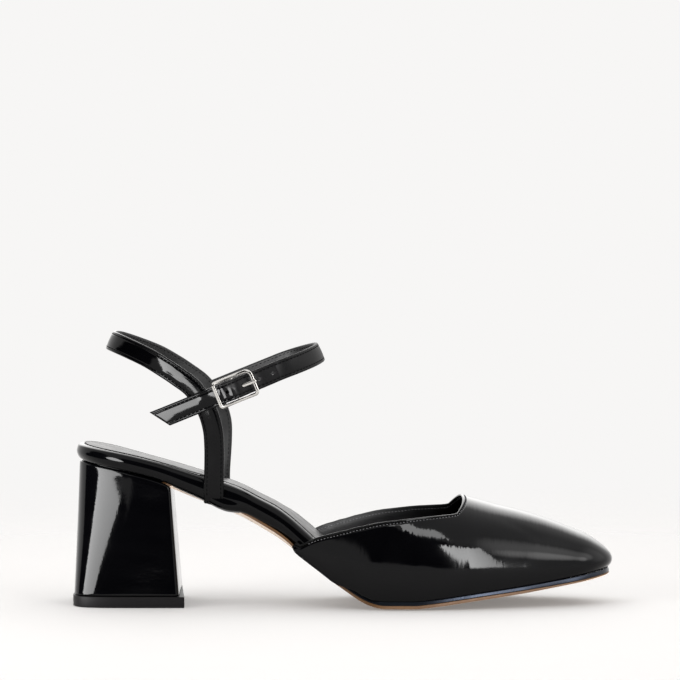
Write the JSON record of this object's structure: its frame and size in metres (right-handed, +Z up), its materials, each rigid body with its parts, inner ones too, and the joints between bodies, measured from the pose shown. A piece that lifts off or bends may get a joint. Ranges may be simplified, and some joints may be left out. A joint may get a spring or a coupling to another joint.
{
  "type": "block heel pump",
  "caption": "Patent pump for the right foot with a squared toe, open sides, a flared block heel, a heel strap and a buckled ankle strap, standing on its heel and forefoot.",
  "frame": {"origin": "on the ground under the middle of the shoe's bounding box", "axes": "+X towards the toe, +Y towards the inner (medial) side, +Z up"},
  "size_m": [0.24, 0.0772, 0.1212],
  "materials": {
    "lift_rubber": "matte",
    "heel_patent": "patent gloss",
    "sole_leather": "natural edge",
    "midsole_leather": "polished edge",
    "footbed_patent": "patent gloss",
    "sock_lining": "matte",
    "upper_patent": "patent gloss",
    "strap_patent": "patent gloss",
    "buckle_metal": "polished"
  },
  "bodies": {
    "root": {"top_lift": "lift_rubber", "heel_block": "heel_patent", "outsole": "sole_leather", "midsole": "midsole_leather", "footbed": "footbed_patent", "insole": "sock_lining", "vamp": "upper_patent", "heel_strap": "strap_patent", "ankle_strap": "strap_patent", "buckle_tab": "strap_patent", "buckle_frame": "buckle_metal", "buckle_prong": "buckle_metal"}
  },
  "joints": []
}
